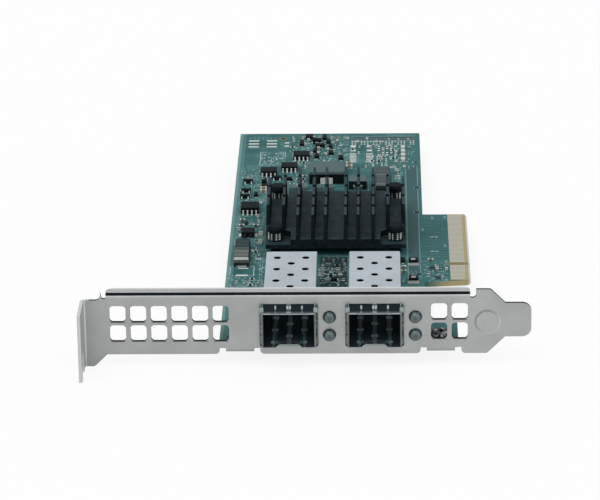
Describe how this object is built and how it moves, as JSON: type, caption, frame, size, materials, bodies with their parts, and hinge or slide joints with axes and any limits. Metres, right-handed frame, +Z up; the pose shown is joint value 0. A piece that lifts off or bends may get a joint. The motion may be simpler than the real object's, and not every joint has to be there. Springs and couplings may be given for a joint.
{
  "type": "network interface card",
  "caption": "Network interface card with transceiver cages, a finned heat sink on its controller, an edge connector and a vented mounting bracket.",
  "frame": {"origin": "centre of the edge connector's key notch, at the connector's tip and in the middle of the board's thickness", "axes": "+X out of the edge connector, the way the card is pushed into its slot; +Y along the board, away from the bracket; +Z up out of the component side"},
  "size_m": [0.1209, 0.1813, 0.0219],
  "materials": {
    "bracket_metal": "satin nickel-plated sheet steel with a fine grain",
    "cage_metal": "smooth plated sheet metal",
    "spring_metal": "bright thin spring sheet",
    "board": "blue-green solder mask over glass-fibre laminate",
    "gold": "gold plating",
    "sink_metal": "black anodised",
    "pad": "soft grey",
    "pin_plastic": "moulded nylon",
    "spring_wire": "bright drawn wire",
    "screw_metal": "zinc plated",
    "lens": "clear moulded light guide",
    "black_moulding": "matt black moulding compound",
    "chip_moulding": "matt moulding compound",
    "tinned": "tinned",
    "tan_ceramic": "fired ceramic",
    "resistor_body": "dark glazed ceramic",
    "capacitor_moulding": "dark moulded case",
    "inductor_core": "pressed ferrite",
    "inductor_cap": "grey ferrite plate"
  },
  "bodies": {
    "root": {"bracket": "bracket_metal", "bracket_screws": "screw_metal", "cage_1_base": "cage_metal", "cage_1_shell": "cage_metal", "cage_1_springs": "spring_metal", "cage_2_base": "cage_metal", "cage_2_shell": "cage_metal", "cage_2_springs": "spring_metal", "chip_resistor_ends": "tinned", "chip_resistors": "resistor_body", "circuit_board": "board", "controller_chip": "chip_moulding", "edge_contacts": "gold", "eight_lead_leads": "tinned", "eight_lead_packages": "chip_moulding", "filter_choke": "inductor_core", "heat_sink": "sink_metal", "indicator_1_housing": "black_moulding", "indicator_2_housing": "black_moulding", "indicator_lenses": "lens", "large_chip_capacitor_ends": "tinned", "large_chip_capacitors": "tan_ceramic", "moulded_capacitor_terminals": "tinned", "moulded_capacitors": "capacitor_moulding", "port_1_connector": "black_moulding", "port_1_contacts": "gold", "port_2_connector": "black_moulding", "port_2_contacts": "gold", "port_filters": "inductor_core", "power_inductor_cap": "inductor_cap", "power_inductor_core": "inductor_core", "power_inductor_terminals": "tinned", "push_pin_springs": "spring_wire", "push_pins": "pin_plastic", "small_chip_capacitor_ends": "tinned", "small_chip_capacitors": "tan_ceramic", "small_diode_leads": "tinned", "small_diodes": "chip_moulding", "small_inductor": "inductor_cap", "small_inductor_terminals": "tinned", "thermal_pad": "pad", "three_lead_leads": "tinned", "three_lead_packages": "chip_moulding"}
  },
  "joints": []
}
